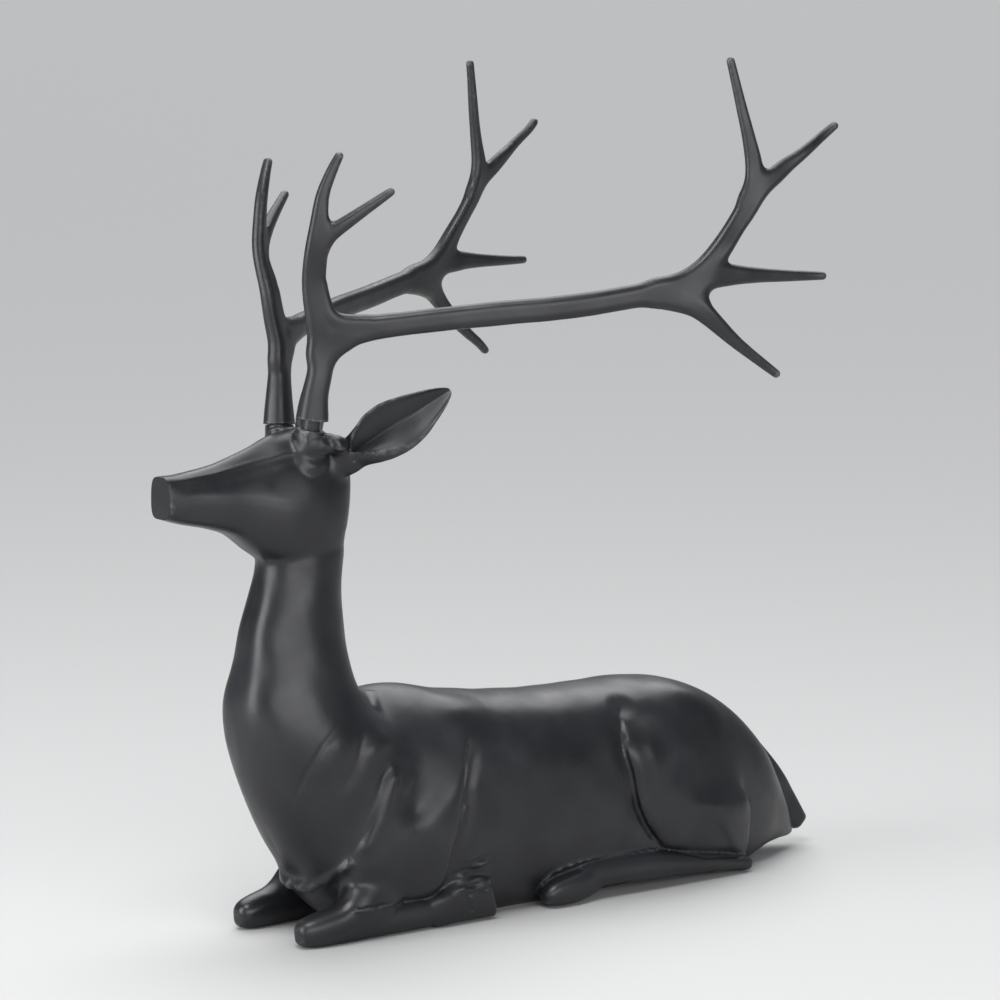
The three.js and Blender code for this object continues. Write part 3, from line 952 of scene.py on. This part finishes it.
FORK_WEB = [
    [-216.4, 30.2, 514, 6, 6.5],
    [-213.7, 31.7, 502.5, 6.3, 7],
    [-210.4, 33.7, 494, 6.6, 7],
    [-203.7, 37.5, 488, 6.8, 7],
    [-195, 42.5, 484.7, 6.8, 7],
    [-186.3, 47.5, 483.2, 6.7, 6.5],
]
BEAM = [
    [-212, 27, 462, 7.6, 9],
    [-203, 33, 471.5, 7.4, 12],
    [-192, 41, 479.2, 7, 11.2],
    [-180.3, 51, 482.4, 6.7, 10],
    [-153.8, 68, 486.3, 6.4, 9.3],
    [-99, 100, 492.3, 6.4, 9.6],
    [-42.9, 131, 497.3, 6.4, 9.5],
    [2.3, 151, 504, 6.4, 9.4],
    [29.5, 161, 507.5, 6.5, 11],
    [49, 167, 512.5, 6.4, 12],
    [63, 171, 524, 5.9, 10.4],
    [76.5, 174, 540, 5.3, 8.8],
    [91.7, 175.6, 559.3, 4.9, 8.1],
    [101.5, 177, 573, 4.9, 8.8],
    [108.4, 177.6, 589, 5, 8.6],
    [109, 176.5, 605.9, 4.8, 7.1],
    [105, 175, 626, 4.5, 5.5],
    [101.1, 172.5, 645.1, 4.1, 4.6],
    [92.2, 166.4, 689, 3.2, 3.2],
]
UPPER_TINE = [
    [104, 177.5, 579, 4.8, 5],
    [116, 179.5, 589.5, 4.8, 7.6],
    [127.3, 181, 597, 4.8, 7.2],
    [140.1, 183, 606.1, 4.5, 6.2],
    [154.8, 186, 615.6, 4.1, 4.7],
    [184, 189.8, 636.2, 3.2, 3.2],
]
MIDDLE_TINE = [
    [46, 166, 513, 6, 7],
    [64, 170.5, 517.5, 5.9, 9.6],
    [82, 174, 518.9, 5.6, 9],
    [100, 177, 518.4, 5.2, 7],
    [142.3, 186, 516.2, 3.8, 4.5],
    [172.4, 190, 515.2, 3.2, 3.2],
]
LOWER_TINE = [
    [24, 159, 506, 6, 7],
    [40, 165, 502, 6, 10],
    [54, 171, 494.8, 5.8, 9.4],
    [66.6, 175.5, 483.5, 5.2, 7.2],
    [90.2, 180.5, 463.3, 4.5, 5],
    [125.6, 186.6, 438, 3.2, 3.2],
]
BRANCHES = (BROW_STEM, BROW_SPUR, FORK_WEB, BEAM, UPPER_TINE, MIDDLE_TINE, LOWER_TINE)
# How far each branch after the first is rounded into those before it
ROUNDING = (9, 5, 9, 10, 8, 14)
# Squareness of the section, 2 being an ellipse
ANTLER_POWER = 2.5
# Rounds of smoothing before the antler's skin is moved home, and rounds of moving it
ANTLER_SOFTENING = 12
ANTLER_ROUNDS = 9
# How far apart the form is felt, the least slope that counts, and the longest move in one round
PROBE = 0.3
LEAST_SLOPE = 0.001
LONGEST_MOVE = 2
# Unevenness of the cast antler: height, length, seed
UNEVEN_HEIGHT = 0.14
UNEVEN_LENGTH = 34
UNEVEN_SEED = 11


def antler_bar(rows, side, rise):
    """A branch of the antler as a bar, to be worked to its true form later."""
    run = on_side(smooth_rows(rows, 4), side)
    run[:, :3] += rise
    return bar("branch", run, 1, 24, 2.2, (ANTLER_FACE[0], side * ANTLER_FACE[1], 0))


def in_sheet(points):
    """Points measured along the antler's flat, upwards, and outwards through the flat."""
    return np.stack([points @ ANTLER_ALONG, points[:, 2], points @ ANTLER_FACE], axis=1)


def outside(spots, rows):
    """How far spots lie outside a branch within the flat."""
    run = smooth_rows(rows, 3)
    run = np.hstack([in_sheet(run[:, :3]), run[:, 3:]])
    start, span = run[:-1], np.diff(run, axis=0)
    length = (span[:, :2] ** 2).sum(axis=1)
    offset = spots[:, None, :2] - start[None, :, :2]
    t = np.clip((offset * span[None, :, :2]).sum(axis=2) / length, 0, 1)
    gap = np.linalg.norm(offset - t[:, :, None] * span[None, :, :2], axis=2)
    return (gap - start[:, 4] - t * span[:, 4]).min(axis=1)


def sizes_near(spots):
    """Depth, half thickness and half breadth of the branches around each spot."""
    run = np.vstack([smooth_rows(rows, 3) for rows in BRANCHES])
    sheet = in_sheet(run[:, :3])
    gap = ((spots[:, None, :2] - sheet[None, :, :2]) ** 2).sum(axis=2)
    share = np.exp((gap.min(axis=1, keepdims=True) - gap) / (2 * SIZE_SPREAD**2))
    sizes = np.hstack([sheet[:, 2:], run[:, 3:]])
    return (share @ sizes / share.sum(axis=1, keepdims=True)).T


def antler_field(points):
    """Below 0 inside the antler and above 0 outside it, with webs filling the forks."""
    spots = in_sheet(points)
    reach = outside(spots, BRANCHES[0])
    for rows, rounding in zip(BRANCHES[1:], ROUNDING):
        out = outside(spots, rows)
        fill = np.maximum(rounding - np.abs(reach - out), 0) / rounding
        reach = np.minimum(reach, out) - fill * fill * rounding / 4
    depth, thick, breadth = sizes_near(spots)
    edge = np.minimum(breadth, EDGE_SHARE * thick)
    off_centre = np.maximum(reach + edge, 0) / edge
    through = np.abs(spots[:, 2] - depth) / thick
    return (off_centre**ANTLER_POWER + through**ANTLER_POWER) ** (1 / ANTLER_POWER) - 1


def settle(antler, rise, rounds):
    """Moves a piece's skin onto the antler's true form."""
    for _ in range(rounds):
        relax(antler, np.ones(len(antler.data.vertices)), 2, 0.3)
        points, sides = points_of(antler)
        normals = normals_of(antler, sides)
        home = points - rise
        here = antler_field(home)
        slope = (antler_field(home + PROBE * normals) - here) / PROBE
        step = np.clip(here * slope / (slope**2 + LEAST_SLOPE), -LONGEST_MOVE, LONGEST_MOVE)
        put_back(antler, points - normals * step[:, None], sides)


def build_antler(name, side):
    mirrored = np.array([1, side, 1])
    rise = SOCKET_AXIS * (LIFT[side] - LIFT[RIGHT])
    bars = [antler_bar(rows, side, rise * mirrored) for rows in BRANCHES]
    antler = fuse(name, bars, ANTLER_GRAIN)
    relax(antler, np.ones(len(antler.data.vertices)), ANTLER_SOFTENING)
    settle(antler, rise, ANTLER_ROUNDS)
    points, sides = points_of(antler)
    normals = normals_of(antler, sides)
    swell = UNEVEN_HEIGHT * waves(points, UNEVEN_LENGTH, UNEVEN_SEED)
    put_back(antler, points + normals * swell[:, None], sides)
    slice_off(antler, (np.array(SEAT) + rise) * mirrored, SOCKET_AXIS * mirrored)
    low, high = LIFT[side] - SPIGOT_LENGTH, LIFT[side] + OVERLAP
    combine(antler, pin("spigot", side, SPIGOT_RADIUS, low, high), "UNION")
    finish_mesh(antler)
    return antler


# Paint

def group_socket(group, name, kind, direction, value=None):
    socket = group.interface.new_socket(name=name, in_out=direction, socket_type=kind)
    if value is not None:
        socket.default_value = value
    return socket


def noise_node(tree, scale, detail, coordinates, roughness=0.5):
    noise = tree.nodes.new("ShaderNodeTexNoise")
    noise.inputs["Scale"].default_value = scale
    noise.inputs["Detail"].default_value = detail
    noise.inputs["Roughness"].default_value = roughness
    tree.links.new(coordinates, noise.inputs["Vector"])
    return noise.outputs["Fac"]


def map_range(tree, value, low, high, to_low, to_high):
    node = tree.nodes.new("ShaderNodeMapRange")
    node.inputs["From Min"].default_value = low
    node.inputs["From Max"].default_value = high
    node.inputs["To Min"].default_value = to_low
    node.inputs["To Max"].default_value = to_high
    tree.links.new(value, node.inputs["Value"])
    return node.outputs["Result"]


def maths(tree, operation, first, second):
    node = tree.nodes.new("ShaderNodeMath")
    node.operation = operation
    for socket, value in zip(node.inputs, (first, second)):
        if isinstance(value, (int, float)):
            socket.default_value = value
        else:
            tree.links.new(value, socket)
    return node.outputs["Value"]


def mix_colours(tree, factor, first, second):
    node = tree.nodes.new("ShaderNodeMix")
    node.data_type = "RGBA"
    tree.links.new(factor, node.inputs["Factor"])
    for socket, value in ((node.inputs["A"], first), (node.inputs["B"], second)):
        if isinstance(value, tuple):
            socket.default_value = value
        else:
            tree.links.new(value, socket)
    return node.outputs["Result"]


def casting_grain_group():
    """Height of a hand-finished sand casting under paint: broad flats, small pits and paint grain."""
    tree = bpy.data.node_groups.new("casting_grain", "ShaderNodeTree")
    group_socket(tree, "Position", "NodeSocketVector", "INPUT")
    group_socket(tree, "Height", "NodeSocketFloat", "OUTPUT")
    start = tree.nodes.new("NodeGroupInput")
    end = tree.nodes.new("NodeGroupOutput")
    position = start.outputs["Position"]
    broad = noise_node(tree, 60, 2, position)
    fine = noise_node(tree, 1100, 3, position, 0.6)
    pits = map_range(tree, noise_node(tree, 420, 4, position, 0.7), 0.62, 0.75, 0, -1)
    height = maths(tree, "MULTIPLY", broad, 0.9)
    height = maths(tree, "ADD", height, maths(tree, "MULTIPLY", fine, 0.16))
    height = maths(tree, "ADD", height, maths(tree, "MULTIPLY", pits, 0.2))
    tree.links.new(height, end.inputs["Height"])
    return tree


def worn_and_highlit_edges_group():
    """Where the paint is made lighter on the proud edges, broken up, partly as rubbed paint and partly as a
    painted highlight; and a measure of the hollows, which are painted darker as painted shade.
    """
    tree = bpy.data.node_groups.new("worn_and_highlit_edges", "ShaderNodeTree")
    group_socket(tree, "Position", "NodeSocketVector", "INPUT")
    group_socket(tree, "Edges", "NodeSocketFloat", "OUTPUT")
    group_socket(tree, "Hollows", "NodeSocketFloat", "OUTPUT")
    start = tree.nodes.new("NodeGroupInput")
    end = tree.nodes.new("NodeGroupOutput")
    curve = tree.nodes.new("ShaderNodeNewGeometry").outputs["Pointiness"]
    broken = map_range(tree, noise_node(tree, 260, 4, start.outputs["Position"]), 0.4, 0.65, 0.15, 1)
    edges = map_range(tree, curve, 0.515, 0.58, 0, 1)
    place = tree.nodes.new("ShaderNodeSeparateXYZ")
    tree.links.new(start.outputs["Position"], place.inputs["Vector"])
    behind_nose = map_range(tree, place.outputs["X"], NOSE_FACE, NOSE_FACE + 0.0012, 0, 1)
    worn_and_highlit = maths(tree, "MULTIPLY", maths(tree, "MULTIPLY", edges, broken), behind_nose)
    tree.links.new(worn_and_highlit, end.inputs["Edges"])
    tree.links.new(map_range(tree, curve, 0.49, 0.42, 0, 1), end.inputs["Hollows"])
    return tree


NOSE_FACE = (FORWARD_REACH + 0.4 - MIDDLE_X) * MM
DARK_PAINT = (0.007, 0.0073, 0.0088, 1)
PALE_PAINT = (0.016, 0.0167, 0.0198, 1)
# Lighter paint for the proud edges: partly rubbed paint, partly a painted highlight
WORN_AND_HIGHLIGHT_PAINT = (0.2, 0.205, 0.215, 1)
# Near-black paint for the hollows, a painted shade
HOLLOW_SHADE = (0.005, 0.005, 0.005, 1)


def charcoal_paint(grain, edges):
    material = bpy.data.materials.new("satin_charcoal_paint")
    material.use_nodes = True
    tree = material.node_tree
    shader = tree.nodes["Principled BSDF"]
    position = tree.nodes.new("ShaderNodeTexCoord").outputs["Object"]
    cloud = map_range(tree, noise_node(tree, 14, 4, position), 0.35, 0.68, 0, 1)
    speck = map_range(tree, noise_node(tree, 650, 2, position), 0.55, 0.75, 0, 0.35)
    paint = mix_colours(tree, maths(tree, "ADD", cloud, speck), DARK_PAINT, PALE_PAINT)
    edge_and_hollow_marks = tree.nodes.new("ShaderNodeGroup")
    edge_and_hollow_marks.node_tree = edges
    tree.links.new(position, edge_and_hollow_marks.inputs["Position"])
    # The hollows painted darker: painted shade in the creases
    shaded_hollows = mix_colours(tree, maths(tree, "MULTIPLY", edge_and_hollow_marks.outputs["Hollows"], 0.6), paint, HOLLOW_SHADE)
    # The proud edges painted lighter: partly rubbed paint, partly a painted highlight on the edges
    worn_and_highlit = mix_colours(tree, maths(tree, "MULTIPLY", edge_and_hollow_marks.outputs["Edges"], 0.6), shaded_hollows, WORN_AND_HIGHLIGHT_PAINT)
    tree.links.new(worn_and_highlit, shader.inputs["Base Color"])
    patchy = map_range(tree, noise_node(tree, 38, 3, position), 0.3, 0.7, 0.3, 0.43)
    roughness = maths(tree, "ADD", patchy, maths(tree, "MULTIPLY", speck, 0.12))
    tree.links.new(roughness, shader.inputs["Roughness"])
    surface = tree.nodes.new("ShaderNodeGroup")
    surface.node_tree = grain
    tree.links.new(position, surface.inputs["Position"])
    bump = tree.nodes.new("ShaderNodeBump")
    bump.inputs["Strength"].default_value = 0.35
    bump.inputs["Distance"].default_value = 0.0006
    tree.links.new(surface.outputs["Height"], bump.inputs["Height"])
    tree.links.new(bump.outputs["Normal"], shader.inputs["Normal"])
    shader.inputs["Metallic"].default_value = 0.1
    shader.inputs["Specular IOR Level"].default_value = 0.5
    return material


# Stage, camera and light

PHOTO_SIZE = 1000
FOCAL_PIXELS = 4000
CAMERA_AZIMUTH = math.radians(-38.79)
CAMERA_ELEVATION = math.radians(7.45)
CAMERA_DISTANCE = 3303.3
CAMERA_TARGET = (-8.5, 0, 335)
SENSOR = 36
FLOOR_SIZE = 300
FLOOR_GREY = (0.47, 0.47, 0.47, 1)
STUDIO_LIGHT = (0.9, 0.95, 1, 1)
STUDIO_STRENGTH = 0.23
# The lights are hung around a point above the origin, at this height in metres
LIT_HEIGHT = 0.3
OVERHEAD_POWER = 2.75
OVERHEAD_SPREAD = math.radians(62)
# [name, azimuth, elevation, distance, size, power]
PANELS = [
    ["front_strip", 97, 8, 2.6, (1.3, 2.2), 54],
    ["key", 55, 60, 2.6, (1.3, 0.9), 42],
    ["camera_side", 16, 12, 3.2, (4.2, 1.2), 62],
]


def plain_material(name, colour, roughness):
    material = bpy.data.materials.new(name)
    material.use_nodes = True
    shader = material.node_tree.nodes["Principled BSDF"]
    shader.inputs["Base Color"].default_value = colour
    shader.inputs["Roughness"].default_value = roughness
    return material


def set_stage():
    bpy.ops.mesh.primitive_plane_add(size=FLOOR_SIZE, location=(0, 0, 0))
    floor = bpy.context.object
    floor.name = "floor"
    floor.data.materials.append(plain_material("pale_floor", FLOOR_GREY, 0.8))


def towards(azimuth, elevation):
    """A direction, with the azimuth counted from the stag's left side to its front."""
    turn, rise = math.radians(azimuth), math.radians(elevation)
    return Vector((-math.sin(turn) * math.cos(rise), -math.cos(turn) * math.cos(rise), math.sin(rise)))


def hang(name, light, azimuth, elevation, distance):
    lamp = bpy.data.objects.new(name, light)
    way = towards(azimuth, elevation)
    lamp.location = way * distance + Vector((0, 0, LIT_HEIGHT))
    lamp.rotation_euler = way.to_track_quat("Z", "Y").to_euler()
    bpy.context.collection.objects.link(lamp)


def panel(name, azimuth, elevation, distance, size, power):
    light = bpy.data.lights.new(name, "AREA")
    light.shape = "RECTANGLE"
    light.size, light.size_y = size
    light.energy = power
    hang(name, light, azimuth, elevation, distance)


def set_light():
    world = bpy.data.worlds.new("studio")
    world.use_nodes = True
    world.node_tree.nodes["Background"].inputs["Color"].default_value = STUDIO_LIGHT
    world.node_tree.nodes["Background"].inputs["Strength"].default_value = STUDIO_STRENGTH
    bpy.context.scene.world = world
    overhead = bpy.data.lights.new("overhead", "SUN")
    overhead.energy = OVERHEAD_POWER
    overhead.angle = OVERHEAD_SPREAD
    hang("overhead", overhead, 222, 58, 3)
    for lamp in PANELS:
        panel(*lamp)
    bpy.context.scene.view_settings.view_transform = "Standard"


def set_camera():
    back = Vector((
        math.sin(CAMERA_AZIMUTH) * math.cos(CAMERA_ELEVATION),
        -math.cos(CAMERA_AZIMUTH) * math.cos(CAMERA_ELEVATION),
        math.sin(CAMERA_ELEVATION),
    ))
    target = Vector((CAMERA_TARGET[0] - MIDDLE_X, CAMERA_TARGET[1], CAMERA_TARGET[2])) * MM
    camera = bpy.data.cameras.new("camera")
    camera.sensor_width = SENSOR
    camera.lens = FOCAL_PIXELS / PHOTO_SIZE * SENSOR
    holder = bpy.data.objects.new("camera", camera)
    holder.location = target + back * CAMERA_DISTANCE * MM
    holder.rotation_euler = back.to_track_quat("Z", "Y").to_euler()
    bpy.context.collection.objects.link(holder)
    bpy.context.scene.camera = holder


def dress(piece, node, material):
    piece.data.materials.clear()
    piece.data.materials.append(material)
    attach(piece, "root")
    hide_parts(node)


set_camera()
set_light()
set_stage()
paint = charcoal_paint(casting_grain_group(), worn_and_highlit_edges_group())
dress(build_body(), "deer_body", paint)
for antler_name, antler_side in (("antler_left", LEFT), ("antler_right", RIGHT)):
    dress(build_antler(f"stag_{antler_name}", antler_side), antler_name, paint)
